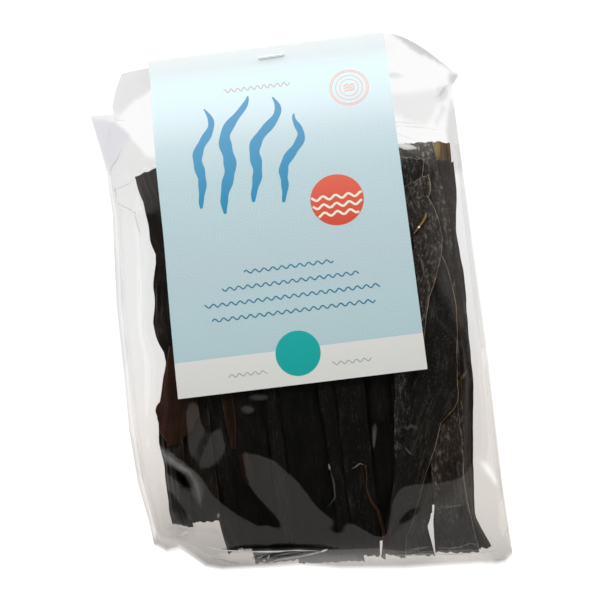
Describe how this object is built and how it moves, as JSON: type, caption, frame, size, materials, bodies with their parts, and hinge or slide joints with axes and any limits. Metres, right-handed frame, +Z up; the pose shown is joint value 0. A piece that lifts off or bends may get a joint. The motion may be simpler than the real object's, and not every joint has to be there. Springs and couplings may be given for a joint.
{
  "type": "clear bag of dried kelp strips",
  "caption": "Flat-lying clear cellophane bag of long dried kelp strips, its mouth folded shut inside a stapled pale blue header card.",
  "frame": {"origin": "on the table under the middle of the pack, which lies on its back", "axes": "+X across the pack, +Y along it to the folded mouth and header card, +Z up out of the front face"},
  "size_m": [0.1808, 0.257, 0.0235],
  "materials": {
    "kelp": "dried, leathery, near black with brown and olive edges and a pale bloom",
    "film": "clear, glossy, creased cellophane",
    "card": "satin-coated paper card, pale blue with a pale grey foot band",
    "steel_wire": "bright drawn staple wire"
  },
  "bodies": {
    "root": {"kelp_bag": "kelp", "header_card": "card", "staple": "steel_wire"}
  },
  "joints": []
}
